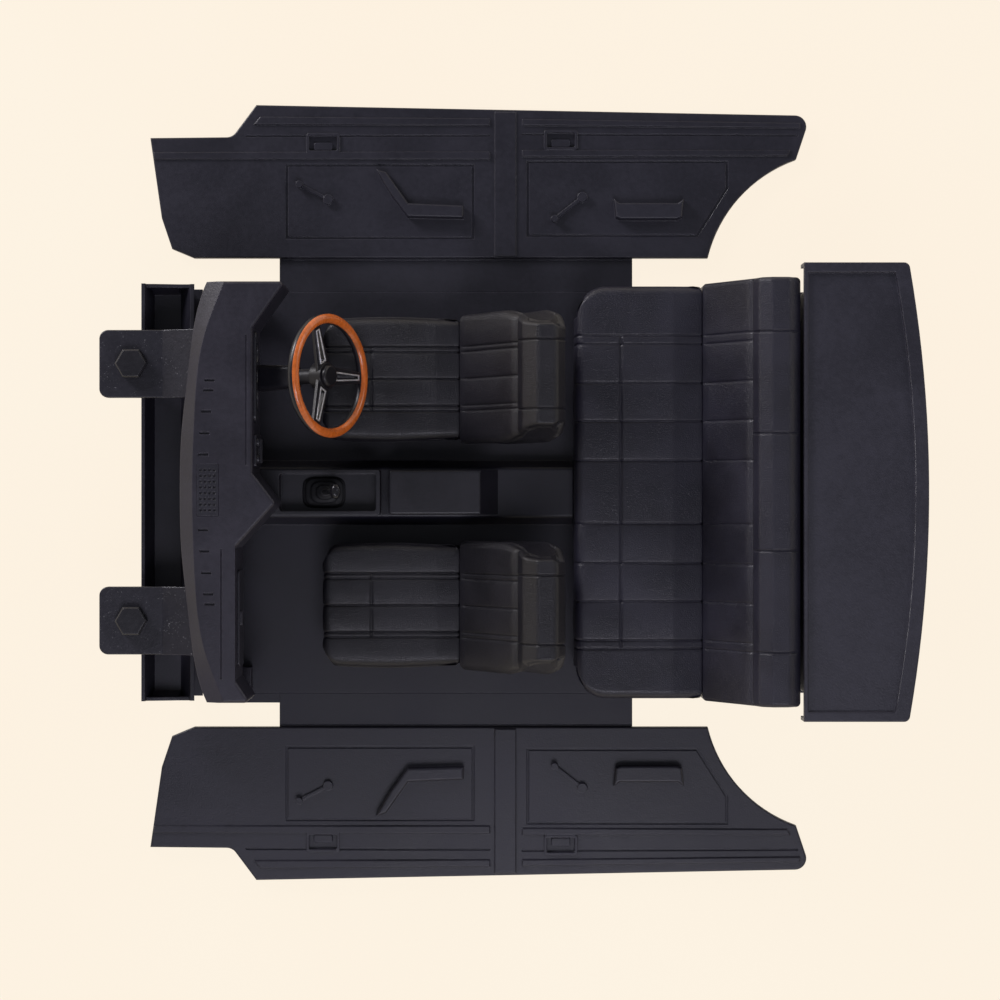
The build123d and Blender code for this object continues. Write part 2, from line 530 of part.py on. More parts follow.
# ---------------------------------------------------------------- rear bulkhead and parcel shelf
PLATE_X, PLATE_HALF = 96.8, 66.0
GUSSET = [(PLATE_X + SHEET, 8.0), (PLATE_X + SHEET, SHELF_PLATE), (125.0, SHELF_PLATE), (125.0, 44.0)]
with BuildPart() as rear_bulkhead:
    with Locations((PLATE_X + SHEET / 2, 0, SHEET)):
        Box(SHEET, 2 * PLATE_HALF, SHELF_PLATE - SHEET, align=BASE)
    with Locations((PLATE_X + 6.0, 0, SHEET)):
        Box(12.0, 2 * PLATE_HALF, SHEET, align=BASE)
    with BuildSketch(*[Plane.XZ.offset(y - SHEET / 2) for y in (-44.0, 0.0, 44.0)]):
        Polygon(GUSSET)
    extrude(amount=SHEET)
    with Locations(*[(x, y, 0) for x, y in TAIL_SCREWS]):
        Cylinder(SCREW_RADIUS + GAP, 4.0, align=BASE, mode=Mode.SUBTRACT)
save(rear_bulkhead.part, "rear_bulkhead")

LIP_SIDE, LIP_REAR, LIP_FRONT = 3.3, 4.6, 1.4
with BuildPart() as parcel_shelf:
    with BuildSketch(Plane.XY.offset(SHELF_BOTTOM)):
        with BuildLine():
            Polyline((SHELF_CORNER_X, SHELF_HALF), (SHELF_FRONT, SHELF_HALF), (SHELF_FRONT, -SHELF_HALF),
                     (SHELF_CORNER_X, -SHELF_HALF))
            ThreePointArc((SHELF_CORNER_X, -SHELF_HALF), (TAIL_X, 0), (SHELF_CORNER_X, SHELF_HALF))
        make_face()
    extrude(amount=SHELF_TOP - SHELF_BOTTOM)
    tail_corners = parcel_shelf.edges().filter_by(Axis.Z).group_by(Axis.X)[-1]
    fillet(tail_corners, 2.0)
    # Recess inside the raised lips.
    with BuildSketch(Plane.XY.offset(SHELF_PLATE + SHEET)):
        with BuildLine():
            Polyline(
                (SHELF_CORNER_X - LIP_REAR, SHELF_HALF - LIP_SIDE),
                (SHELF_FRONT + LIP_FRONT, SHELF_HALF - LIP_SIDE),
                (SHELF_FRONT + LIP_FRONT, LIP_SIDE - SHELF_HALF),
                (SHELF_CORNER_X - LIP_REAR, LIP_SIDE - SHELF_HALF),
            )
            ThreePointArc((SHELF_CORNER_X - LIP_REAR, LIP_SIDE - SHELF_HALF), (TAIL_X - LIP_REAR, 0),
                          (SHELF_CORNER_X - LIP_REAR, SHELF_HALF - LIP_SIDE))
        make_face()
    extrude(amount=SHELF_TOP - SHELF_PLATE - SHEET, mode=Mode.SUBTRACT)
    # Hollow underneath, open towards the bench.
    with BuildSketch(Plane.XY.offset(SHELF_BOTTOM)):
        with BuildLine():
            Polyline((SHELF_CORNER_X - SHEET, SHELF_HALF - SHEET), (SHELF_FRONT, SHELF_HALF - SHEET),
                     (SHELF_FRONT, SHEET - SHELF_HALF), (SHELF_CORNER_X - SHEET, SHEET - SHELF_HALF))
            ThreePointArc((SHELF_CORNER_X - SHEET, SHEET - SHELF_HALF), (TAIL_X - SHEET, 0),
                          (SHELF_CORNER_X - SHEET, SHELF_HALF - SHEET))
        make_face()
    extrude(amount=SHELF_PLATE - SHELF_BOTTOM, mode=Mode.SUBTRACT)
    crown = parcel_shelf.faces().sort_by(Axis.Z)[-1].edges()
    fillet(crown, 0.4)
save(parcel_shelf.part, "parcel_shelf")

# ---------------------------------------------------------------- front mounting brackets and their bolts
BRACKET_SIDE = [
    (NOSE_X, BRACKET_BOTTOM), (NOSE_X, BRACKET_TOP), (-116.6, BRACKET_TOP), (-104.0, 42.4), (-100.0, 42.4),
    (-100.0, 39.2), (-103.4, 39.2), (-116.0, BRACKET_BOTTOM),
]
with BuildPart() as right_bracket:
    with BuildSketch(Plane.XZ.offset(-BOLT_Y)):
        Polygon(BRACKET_SIDE)
    extrude(amount=BRACKET_WIDTH / 2, both=True)
    nose_corners = right_bracket.edges().filter_by(Axis.Z).group_by(Axis.X)[0]
    fillet(nose_corners, 3.0)
    with BuildSketch(Plane.XY.offset(DASH_BOTTOM)):
        add(dash_plan.sketch)
    extrude(amount=DASH_TOP - DASH_BOTTOM, mode=Mode.SUBTRACT)
    with Locations((BOLT_X, BOLT_Y, BRACKET_BOTTOM)):
        Cylinder(SHANK_RADIUS + GAP, BRACKET_TOP, align=BASE, mode=Mode.SUBTRACT)
    fillet(right_bracket.faces().filter_by(Axis.Z).sort_by(Axis.Z)[-1].edges().filter_by(GeomType.LINE), 0.4)
save(right_bracket.part, "right_bracket")

with BuildPart() as left_bracket:
    mirror(right_bracket.part, about=Plane.XZ)
save(left_bracket.part, "left_bracket")

with BuildPart() as bracket_bolts:
    with BuildSketch(Plane.XY.offset(BRACKET_TOP)):
        with Locations((BOLT_X, BOLT_Y), (BOLT_X, -BOLT_Y)):
            RegularPolygon(HEX_FLATS / 2, 6, major_radius=False)
    extrude(amount=HEX_HEIGHT)
    chamfer(bracket_bolts.faces().filter_by(Axis.Z).group_by(Axis.Z)[-1].edges(), 0.5)
    with Locations((BOLT_X, BOLT_Y, BRACKET_BOTTOM), (BOLT_X, -BOLT_Y, BRACKET_BOTTOM)):
        Cylinder(SHANK_RADIUS, BRACKET_TOP - BRACKET_BOTTOM, align=BASE)
    with Locations((BOLT_X, BOLT_Y, STUD_END), (BOLT_X, -BOLT_Y, STUD_END)):
        Cylinder(STUD_RADIUS, BRACKET_BOTTOM - STUD_END, align=BASE)
    chamfer(bracket_bolts.faces().filter_by(Axis.Z).group_by(Axis.Z)[0].edges(), 0.4)
save(bracket_bolts.part, "bracket_bolts")

# ---------------------------------------------------------------- door cards, unfolded beside the floor pan
ARCH_START, ARCH_MIDDLE, ARCH_END = (68.9, CARD_EDGE), (80.4, 103.4), (99.7, 116.2)
RIB_TOP, REST_TOP, PIVOT_TOP, KNOB_TOP, GROOVE = 3.7, 7.2, 4.8, 5.8, 0.5
PILLAR_FRONT, PILLAR_REAR = -5.5, 2.0  # plain strip between the two doors
with BuildSketch() as card_plan:
    with BuildLine():
        Polyline((-110.3, CARD_EDGE), ARCH_START)
        ThreePointArc(ARCH_START, ARCH_MIDDLE, ARCH_END)
        Polyline(ARCH_END, (104.8, 131.5), (-88.6, 135.2), (-97.0, 124.0), (-125.6, 123.7), (-121.6, 95.7),
                 (-118.0, 85.0), (-110.3, CARD_EDGE))
    make_face()
    fillet(card_plan.vertices().sort_by_distance((104.8, 131.5))[0], 4.0)
    fillet(card_plan.vertices().sort_by_distance((-97.0, 124.0))[0], 4.0)

# Trim panel outlines, each drawn as a groove.
FRONT_TRIM = [(-77.9, 88.8), (-13.0, 88.8), (-13.0, 114.1), (-77.9, 114.1)]
REAR_TRIM = [(6.1, 89.6), (65.1, 89.6), (75.5, 106.1), (75.5, 115.3), (6.1, 115.3)]
RELEASES = [(-65.3, 121.8), (17.6, 122.9)]
PIVOTS = [(-63.5, 102.1), (25.1, 102.9)]
KNOBS = [(-73.5, 107.3), (15.4, 95.3)]
REAR_REST = [
    (35.9, 102.1), (38.0, 100.6), (58.2, 100.6), (60.3, 102.1),
    (59.6, 95.6), (58.0, 94.9), (38.2, 94.9), (36.6, 95.6),
]
FRONT_REST = [
    (-46.6, 112.4), (-43.1, 111.3), (-35.5, 100.5), (-16.3, 99.7),
    (-16.3, 95.3), (-35.7, 95.7), (-41.6, 103.6),
    (-45.6, 110.2),
]
with BuildPart() as right_door_card:
    with BuildSketch():
        add(card_plan.sketch)
    extrude(amount=CARD_THICK)
    fillet(right_door_card.faces().sort_by(Axis.Z)[-1].edges(), 0.5)
    # Waist mouldings, broken at the pillar strip.
    with BuildSketch(Plane.XY.offset(CARD_THICK)):
        Polygon([(-124.2, 116.2), (-124.4, 118.6), (-7.1, 118.9), (-7.1, 116.2)])
        Polygon([(4.1, 117.0), (4.1, 119.4), (97.6, 119.4), (96.6, 117.4)])
        Polygon([(-89.4, 128.3), (-87.2, 131.0), (-7.1, 130.4), (-7.1, 128.0)])
        Polygon([(4.1, 128.0), (4.1, 130.2), (101.0, 128.8), (101.0, 127.0)])
        Polygon([
            (PILLAR_FRONT, CARD_EDGE + 0.6), (PILLAR_FRONT, 132.7),
            (PILLAR_REAR, 132.6), (PILLAR_REAR, CARD_EDGE + 0.6),
        ])
    extrude(amount=RIB_TOP - CARD_THICK)
    fillet(right_door_card.faces().filter_by(Axis.Z).group_by(Axis.Z)[-1].edges(), 0.3)
    with BuildSketch(Plane.XY.offset(CARD_THICK)):
        with Locations(*RELEASES):
            RectangleRounded(11.6, 7.0, 1.0)
    extrude(amount=RIB_TOP - CARD_THICK)
    with BuildSketch(Plane.XY.offset(CARD_THICK)):
        Polygon([(-92.4, 124.0), (-92.0, 124.6), (-7.1, 124.8), (-7.1, 124.2)])
        Polygon([(4.1, 124.6), (4.1, 125.2), (100.4, 124.8), (100.2, 124.2)])
        for outline in (FRONT_TRIM, REAR_TRIM):
            with BuildLine():
                Polyline(*outline, close=True)
            trace(line_width=0.8)
        with Locations(*RELEASES):
            RectangleRounded(9.8, 5.2, 0.6, mode=Mode.SUBTRACT)
    extrude(amount=-GROOVE, mode=Mode.SUBTRACT)
    # Sunk release pockets, each with its pull.
    with BuildSketch(Plane.XY.offset(CARD_THICK - 2 * GROOVE)):
        with Locations(*RELEASES):
            RectangleRounded(9.8, 5.2, 0.6)
    extrude(amount=CARD_THICK, mode=Mode.SUBTRACT)
    with BuildSketch(Plane.XY.offset(CARD_THICK - 2 * GROOVE)):
        with Locations(*[(x, y - 1.1) for x, y in RELEASES]):
            RectangleRounded(6.4, 2.6, 0.6)
    extrude(amount=2 * GROOVE)
    # Front and rear arm rests.
    with BuildSketch(Plane.XY.offset(CARD_THICK)):
        Polygon(FRONT_REST)
        Polygon(REAR_REST)
    extrude(amount=REST_TOP - CARD_THICK)
    fillet(right_door_card.faces().filter_by(Axis.Z).group_by(Axis.Z)[-1].edges(), 0.8)
    # Window winders: pivot boss, arm and knob.
    with Locations(*[(x, y, CARD_THICK) for x, y in PIVOTS]):
        Cylinder(1.7, PIVOT_TOP - CARD_THICK, align=BASE)
    with Locations(*[(x, y, CARD_THICK) for x, y in KNOBS]):
        Cylinder(1.2, KNOB_TOP - CARD_THICK, align=BASE)
    with BuildSketch(Plane.XY.offset(CARD_THICK)):
        for pivot, knob in zip(PIVOTS, KNOBS):
            with BuildLine():
                Line(pivot, knob)
            trace(line_width=1.1)
    extrude(amount=1.2)
save(right_door_card.part, "right_door_card")

with BuildPart() as left_door_card:
    mirror(right_door_card.part, about=Plane.XZ)
save(left_door_card.part, "left_door_card")
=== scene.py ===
import math

import bmesh
import bpy
from mathutils import Matrix, Vector


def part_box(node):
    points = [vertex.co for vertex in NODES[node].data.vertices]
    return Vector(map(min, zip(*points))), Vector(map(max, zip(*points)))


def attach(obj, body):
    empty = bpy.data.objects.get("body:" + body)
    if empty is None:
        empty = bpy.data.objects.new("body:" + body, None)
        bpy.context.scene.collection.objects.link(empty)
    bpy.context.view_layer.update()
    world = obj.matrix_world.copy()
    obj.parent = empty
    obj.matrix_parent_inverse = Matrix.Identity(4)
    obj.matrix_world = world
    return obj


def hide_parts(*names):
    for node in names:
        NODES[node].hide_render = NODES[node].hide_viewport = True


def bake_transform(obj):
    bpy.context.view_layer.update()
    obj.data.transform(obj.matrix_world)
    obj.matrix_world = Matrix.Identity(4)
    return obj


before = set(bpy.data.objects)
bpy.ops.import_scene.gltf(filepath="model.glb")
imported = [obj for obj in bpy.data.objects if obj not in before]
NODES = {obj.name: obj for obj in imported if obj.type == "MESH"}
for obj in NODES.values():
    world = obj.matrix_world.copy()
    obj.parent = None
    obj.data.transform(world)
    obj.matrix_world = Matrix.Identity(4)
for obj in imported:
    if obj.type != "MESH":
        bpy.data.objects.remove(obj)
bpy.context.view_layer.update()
MM = 0.001

# ------------------------------------------------------------------ camera, straight above and looking down
CAMERA_HEIGHT = 0.850
CAMERA_X, CAMERA_Y = -0.0036, -0.0026
SENSOR = 36.0
VIEW_WIDTH = 0.350  # width of the floor that the camera sees
camera_data = bpy.data.cameras.new("camera")
camera_data.sensor_width = SENSOR
camera_data.lens = SENSOR * CAMERA_HEIGHT / VIEW_WIDTH
camera_data.clip_start = 0.01
camera_data.clip_end = 50.0
camera = bpy.data.objects.new("camera", camera_data)
camera.location = (CAMERA_X, CAMERA_Y, CAMERA_HEIGHT)
bpy.context.scene.collection.objects.link(camera)
bpy.context.scene.camera = camera
bpy.context.scene.view_settings.view_transform = "Standard"


# ------------------------------------------------------------------ node helpers
# Colour sockets of the Mix node, by number because it has several sockets of the same name.
MIX_FIRST, MIX_SECOND, MIX_RESULT = 6, 7, 2


def linear(value):
    """sRGB 0-255 to linear 0-1."""
    c = value / 255.0
    return c / 12.92 if c <= 0.04045 else ((c + 0.055) / 1.055) ** 2.4


def rgb(r, g, b):
    return (linear(r), linear(g), linear(b), 1.0)


class Graph:
    """Small wrapper that adds shader nodes to one material."""

    def __init__(self, name):
        self.material = bpy.data.materials.new(name)
        self.material.use_nodes = True
        self.tree = self.material.node_tree
        self.tree.nodes.clear()
        self.place = self.add("ShaderNodeTexCoord").outputs["Object"]

    def add(self, kind, **values):
        node = self.tree.nodes.new(kind)
        for key, value in values.items():
            setattr(node, key, value)
        return node

    def join(self, source, target):
        self.tree.links.new(source, target)

    def put(self, socket, value):
        if hasattr(value, "is_output"):
            self.join(value, socket)
        else:
            socket.default_value = value

    def noise(self, scale, detail=3.0, roughness=0.55, place=None, distortion=0.0):
        node = self.add("ShaderNodeTexNoise")
        self.join(place or self.place, node.inputs["Vector"])
        node.inputs["Scale"].default_value = scale
        node.inputs["Detail"].default_value = detail
        node.inputs["Roughness"].default_value = roughness
        node.inputs["Distortion"].default_value = distortion
        return node.outputs["Fac"]

    def voronoi(self, scale, feature="F1"):
        node = self.add("ShaderNodeTexVoronoi", feature=feature)
        self.join(self.place, node.inputs["Vector"])
        node.inputs["Scale"].default_value = scale
        return node.outputs["Distance"]

    def stretched(self, x, y, z):
        node = self.add("ShaderNodeMapping")
        self.join(self.place, node.inputs["Vector"])
        node.inputs["Scale"].default_value = (x, y, z)
        return node.outputs["Vector"]

    def maths(self, operation, a, b, clamp=False):
        node = self.add("ShaderNodeMath", operation=operation, use_clamp=clamp)
        self.put(node.inputs[0], a)
        self.put(node.inputs[1], b)
        return node.outputs[0]

    def span(self, value, low, high, to_low=0.0, to_high=1.0):
        """Smooth step from to_low, at or below low, to to_high."""
        node = self.add("ShaderNodeMapRange", interpolation_type="SMOOTHSTEP")
        self.put(node.inputs["Value"], value)
        node.inputs["From Min"].default_value = low
        node.inputs["From Max"].default_value = high
        node.inputs["To Min"].default_value = to_low
        node.inputs["To Max"].default_value = to_high
        return node.outputs["Result"]

    def blend(self, factor, first, second):
        node = self.add("ShaderNodeMix", data_type="RGBA", blend_type="MIX")
        self.put(node.inputs["Factor"], factor)
        self.put(node.inputs[MIX_FIRST], first)
        self.put(node.inputs[MIX_SECOND], second)
        return node.outputs[MIX_RESULT]

    def rounded_normal(self, radius):
        node = self.add("ShaderNodeBevel", samples=6)
        node.inputs["Radius"].default_value = radius
        return node.outputs["Normal"]

    def edges(self, rounded, start=0.995, full=0.90):
        """1 on edges and 0 on flats, from how far a rounded normal leans off the surface's own."""
        normal = self.add("ShaderNodeNewGeometry").outputs["Normal"]
        dot = self.add("ShaderNodeVectorMath", operation="DOT_PRODUCT")
        self.join(rounded, dot.inputs[0])
        self.join(normal, dot.inputs[1])
        return self.span(dot.outputs["Value"], full, start, 1.0, 0.0)

    def bump(self, height, depth, normal):
        node = self.add("ShaderNodeBump")
        self.join(height, node.inputs["Height"])
        node.inputs["Strength"].default_value = 1.0
        node.inputs["Distance"].default_value = depth
        self.join(normal, node.inputs["Normal"])
        return node.outputs["Normal"]

    def specks(self, scale, size, patches, start):
        """Dust: round spots of the given size, in the patches where a broad noise passes start."""
        spots = self.span(self.voronoi(scale), size, size + 0.05, 1.0, 0.0)
        return self.maths("MULTIPLY", spots, self.span(self.noise(patches), start, start + 0.10))

    def finish(self, colour, roughness, normal, **plain):
        shader = self.add("ShaderNodeBsdfPrincipled")
        self.put(shader.inputs["Base Color"], colour)
        self.put(shader.inputs["Roughness"], roughness)
        self.join(normal, shader.inputs["Normal"])
        for key, value in plain.items():
            shader.inputs[key.replace("_", " ")].default_value = value
        output = self.add("ShaderNodeOutputMaterial")
        self.join(shader.outputs[0], output.inputs["Surface"])
        return self.material


DUST = rgb(120, 116, 118)
MOULD_FLASH = rgb(196, 196, 200)


def moulded(name, colour, roughness=0.42, grain=2600.0, depth=0.00003, haze=0.22, edge_wear_and_highlight_strength=0.5, dust=0.5,
            edge=0.00045, flash=0.0):
    """Moulded plastic: mottled colour, fine tool texture, polished edges lightened partly as wear and partly
    as a painted highlight, dust and bits of mould flash.
    """
    g = Graph(name)
    rounded = g.rounded_normal(edge)
    worn = g.edges(rounded)
    cloud = g.noise(34.0, 4.0, 0.6, distortion=0.4)
    mottle = g.noise(620.0, 3.0, 0.6)
    mixed = g.maths("ADD", g.maths("MULTIPLY", cloud, 0.65), g.maths("MULTIPLY", mottle, 0.35))
    dark = tuple(c * (1.0 - haze) for c in colour[:3]) + (1.0,)
    light = tuple(c * (1.0 + haze) for c in colour[:3]) + (1.0,)
    base = g.blend(g.span(mixed, 0.32, 0.68), dark, light)
    scuff_lines = g.noise(1.0, 3.0, 0.7, place=g.stretched(260.0, 2400.0, 900.0))
    scuffs = g.maths("MULTIPLY", g.span(scuff_lines, 0.66, 0.74), g.span(cloud, 0.48, 0.62))
    wear_and_highlight_colour = tuple(min(1.0, c * 2.6 + 0.010) for c in colour[:3]) + (1.0,)
    # Every edge is lightened towards a pale colour: partly real rubbing wear, partly a painted highlight.
    edge_wear_and_painted_highlight = g.maths("MULTIPLY", worn, g.span(mottle, 0.30, 0.62, 0.35, 1.0))
    base = g.blend(g.maths("MULTIPLY", edge_wear_and_painted_highlight, edge_wear_and_highlight_strength), base, wear_and_highlight_colour)
    base = g.blend(g.maths("MULTIPLY", scuffs, 0.30 * dust), base, wear_and_highlight_colour)
    specks = g.specks(520.0, 0.05, 90.0, 0.56)
    base = g.blend(g.maths("MULTIPLY", specks, 0.22 * dust), base, DUST)
    bits = g.span(g.noise(1700.0, 3.0, 0.7), 0.62, 0.70)
    bits = g.maths("MULTIPLY", bits, g.span(g.noise(190.0), 0.48, 0.60))
    base = g.blend(g.maths("MULTIPLY", bits, flash), base, MOULD_FLASH)
    rough = g.span(mixed, 0.30, 0.70, roughness - 0.05, roughness + 0.07)
    rough = g.maths("SUBTRACT", rough, g.maths("MULTIPLY", edge_wear_and_painted_highlight, 0.10))
    rough = g.maths("ADD", rough, g.maths("MULTIPLY", specks, 0.20), clamp=True)
    texture = g.maths("ADD", g.noise(grain, 2.0, 0.5), g.maths("MULTIPLY", g.noise(grain * 0.22, 3.0), 0.8))
    normal = g.bump(texture, depth, normal=rounded)
    return g.finish(base, rough, normal)


def vinyl(name, colour, roughness=0.46, cell=1500.0, depth=0.00007):
    """Plastic moulded in the look of padded vinyl: fine leather cells, soft creases and rubbed crowns that
    are lightened partly as wear and partly as a painted highlight.
    """
    g = Graph(name)
    rounded = g.rounded_normal(0.0005)
    worn = g.edges(rounded, 0.992, 0.93)
    cells = g.span(g.voronoi(cell, "DISTANCE_TO_EDGE"), 0.0, 0.16)
    creases = g.noise(150.0, 4.0, 0.6, distortion=0.8)
    cloud = g.noise(40.0, 3.0, 0.6)
    dark = tuple(c * 0.78 for c in colour[:3]) + (1.0,)
    light = tuple(c * 1.22 for c in colour[:3]) + (1.0,)
    base = g.blend(g.span(cloud, 0.34, 0.66), dark, light)
    base = g.blend(g.span(creases, 0.56, 0.72, 0.0, 0.35), base, light)
    wear_and_highlight_colour = tuple(min(1.0, c * 2.2 + 0.008) for c in colour[:3]) + (1.0,)
    # Edges and crowns are lightened towards a pale colour: partly real wear, partly a painted highlight.
    base = g.blend(g.maths("MULTIPLY", worn, 0.75), base, wear_and_highlight_colour)
    specks = g.specks(430.0, 0.04, 110.0, 0.58)
    base = g.blend(g.maths("MULTIPLY", specks, 0.14), base, DUST)
    rough = g.span(cells, 0.0, 1.0, roughness + 0.14, roughness - 0.03)
    rough = g.maths("ADD", rough, g.span(cloud, 0.35, 0.65, -0.04, 0.05), clamp=True)
    height = g.maths("ADD", g.maths("MULTIPLY", cells, 0.5), g.maths("MULTIPLY", creases, 1.6))
    normal = g.bump(height, depth, normal=rounded)
    return g.finish(base, rough, normal)


def lacquer(name, colour):
    """Glossy orange enamel with small brush runs and worn places that show the black plastic."""
    g = Graph(name)
    rounded = g.rounded_normal(0.0003)
    worn = g.edges(rounded, 0.985, 0.80)
    streak = g.noise(1.0, 4.0, 0.65, place=g.stretched(300.0, 300.0, 1500.0))
    blotch = g.noise(240.0, 4.0, 0.6)
    dark = tuple(c * 0.84 for c in colour[:3]) + (1.0,)
    light = tuple(min(1.0, c * 1.12) for c in colour[:3]) + (1.0,)
    base = g.blend(g.span(streak, 0.36, 0.64), dark, light)
    base = g.blend(g.span(blotch, 0.60, 0.74, 0.0, 0.35), base, dark)
    base = g.blend(g.maths("MULTIPLY", worn, g.span(blotch, 0.56, 0.68)), base, rgb(104, 56, 30))
    rough = g.span(blotch, 0.35, 0.65, 0.24, 0.36)
    normal = g.bump(g.maths("ADD", blotch, streak), 0.00003, normal=rounded)
    return g.finish(base, rough, normal, Coat_Weight=0.45, Coat_Roughness=0.10)


def metal(name, colour, roughness, metallic=1.0, brushed=(900.0, 900.0, 5200.0), depth=0.00002):
    """Bare or painted metal with brush lines, dull patches and bright edges."""
    g = Graph(name)
    rounded = g.rounded_normal(0.00025)
    worn = g.edges(rounded, 0.99, 0.86)
    lines = g.noise(1.0, 3.0, 0.6, place=g.stretched(*brushed))
    tarnish = g.noise(420.0, 4.0, 0.6)
    dark = tuple(c * 0.55 for c in colour[:3]) + (1.0,)
    light = tuple(min(1.0, c * 1.12) for c in colour[:3]) + (1.0,)
    base = g.blend(g.span(tarnish, 0.38, 0.64), dark, colour)
    base = g.blend(g.maths("MULTIPLY", worn, 0.7), base, light)
    rough = g.maths("ADD", g.span(lines, 0.3, 0.7, roughness - 0.08, roughness + 0.10),
                    g.span(tarnish, 0.4, 0.7, 0.08, -0.04), clamp=True)
    normal = g.bump(lines, depth, normal=rounded)
    return g.finish(base, rough, normal, Metallic=metallic)


# ------------------------------------------------------------------ one material for each slot of the record
SLOTS = {
    "floor_plastic": moulded("floor_plastic", rgb(28, 27, 38), 0.46, haze=0.20, dust=0.7),
    "trough_plastic": moulded("trough_plastic", rgb(29, 28, 38), 0.42, grain=1800.0, dust=0.9),
    "dash_plastic": moulded("dash_plastic", rgb(37, 35, 46), 0.42, grain=1500.0, depth=0.00005, edge_wear_and_highlight_strength=0.6),
    "grille_plastic": moulded("grille_plastic", rgb(34, 33, 43), 0.40, grain=3600.0),
    "gauge_plastic": moulded("gauge_plastic", rgb(36, 36, 42), 0.30, grain=4200.0, depth=0.00001),
    "panel_plastic": moulded("panel_plastic", rgb(31, 30, 39), 0.36, grain=3000.0),
    "column_plastic": moulded("column_plastic", rgb(23, 22, 29), 0.40),
    "wheel_plastic": moulded("wheel_plastic", rgb(20, 19, 25), 0.36, grain=3400.0, edge=0.0003),
    "rim_orange": lacquer("rim_orange", rgb(206, 104, 38)),
    "spoke_silver": metal("spoke_silver", rgb(236, 236, 240), 0.36, 0.70),
    "console_plastic": moulded("console_plastic", rgb(27, 26, 34), 0.40, edge_wear_and_highlight_strength=0.7),
    "boot_plastic": moulded("boot_plastic", rgb(18, 18, 22), 0.58, grain=1200.0, depth=0.00006, dust=0.8),
    "lever_steel": metal("lever_steel", rgb(186, 186, 190), 0.26),
    "knob_plastic": moulded("knob_plastic", rgb(24, 23, 28), 0.26, grain=4000.0, depth=0.00001, edge_wear_and_highlight_strength=0.8),
    "seat_base_plastic": moulded("seat_base_plastic", rgb(22, 22, 28), 0.50),
    "seat_plastic": vinyl("seat_plastic", rgb(19, 18, 26), 0.38),
    "bench_plastic": vinyl("bench_plastic", rgb(32, 31, 43), 0.37),
    "shelf_plastic": moulded("shelf_plastic", rgb(40, 39, 50), 0.44, grain=1500.0, depth=0.00005, dust=0.8),
    "bracket_plastic": moulded(
        "bracket_plastic", rgb(33, 32, 41), 0.40, grain=1400.0, depth=0.00005, edge_wear_and_highlight_strength=0.9, flash=0.45),
    "bolt_plastic": moulded("bolt_plastic", rgb(28, 27, 33), 0.34, grain=2600.0, edge_wear_and_highlight_strength=0.8),
    "card_plastic": moulded("card_plastic", rgb(31, 30, 41), 0.42, grain=1700.0, depth=0.00004, edge_wear_and_highlight_strength=0.6),
    "screw_steel": metal("screw_steel", rgb(170, 168, 166), 0.38),
}
for node in NODES.values():
    for place in node.material_slots:
        place.material = SLOTS[place.material.name.split(".")[0]]


def piece(mesh_maker, name, body, slot, replaced=(), smooth=True):
    """Makes a mesh, gives it its slot's material, rides it on a body and hides the CAD nodes it replaces."""
    mesh = bpy.data.meshes.new(name)
    bm = bmesh.new()
    mesh_maker(bm)
    bmesh.ops.recalc_face_normals(bm, faces=bm.faces)
    bm.to_mesh(mesh)
    bm.free()
    for polygon in mesh.polygons:
        polygon.use_smooth = smooth
    mesh.materials.append(SLOTS[slot])
    obj = bpy.data.objects.new(name, mesh)
    bpy.context.scene.collection.objects.link(obj)
    if replaced:
        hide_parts(*replaced)
    if body:
        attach(obj, body)
    return obj


# ------------------------------------------------------------------ upholstery: a side profile swept across
def smoothstep(low, high, value):
    t = min(1.0, max(0.0, (value - low) / (high - low)))
    return t * t * (3.0 - 2.0 * t)


# Extra samples beside a seam of the profile and beside a groove across it, in millimetres.
SEAM_SHIFTS = (-1.0, -0.6, -0.35, -0.15, 0.0, 0.15, 0.35, 0.6, 1.0)
GROOVE_SHIFTS = (-0.9, -0.6, -0.4, -0.25, -0.12, 0.0, 0.12, 0.25, 0.4, 0.6, 0.9)
LEAST_STEP, LEAST_STATION = 0.12, 0.07


def outline(corners, step, seams):
    """Closed side profile from corners (x, z, radius, mark), rounded and sampled; marks run along it.
    Samples crowd together round the marks listed in seams."""
    count = len(corners)
    arcs = []
    for i, (x, z, radius, mark) in enumerate(corners):
        here = Vector((x, z))
        before = Vector(corners[i - 1][:2]) - here
        after = Vector(corners[(i + 1) % count][:2]) - here
        half = before.angle(after) / 2.0
        if radius <= 0.0 or abs(half - math.pi / 2) < 0.01:
            arcs.append([here])
            continue
        reach = min(radius / math.tan(half), before.length * 0.48, after.length * 0.48)
        start, end = here + before.normalized() * reach, here + after.normalized() * reach
        parts = max(4, int(radius * 3))
        steps = [k / parts for k in range(parts + 1)]
        arcs.append([start.lerp(here, t).lerp(here.lerp(end, t), t) for t in steps])
    points, marks = [], []
    for i, arc in enumerate(arcs):
        mark = corners[i][3]
        points += arc
        marks += [mark] * len(arc)
        following, next_mark = arcs[(i + 1) % count][0], corners[(i + 1) % count][3]
        run = following - arc[-1]
        pieces = max(1, int(run.length / step))
        fractions = {k / pieces for k in range(1, pieces)}
        if next_mark != mark:
            for seam in seams:
                at = (seam - mark) / (next_mark - mark)
                for shift in SEAM_SHIFTS:
                    fraction = at + shift / run.length
                    if 0.02 < fraction < 0.98:
                        fractions.add(fraction)
        last = 0.0
        for fraction in sorted(fractions):
            if (fraction - last) * run.length < LEAST_STEP:
                continue
            last = fraction
            points.append(arc[-1] + run * fraction)
            marks.append(mark + (next_mark - mark) * fraction)
    return points, marks


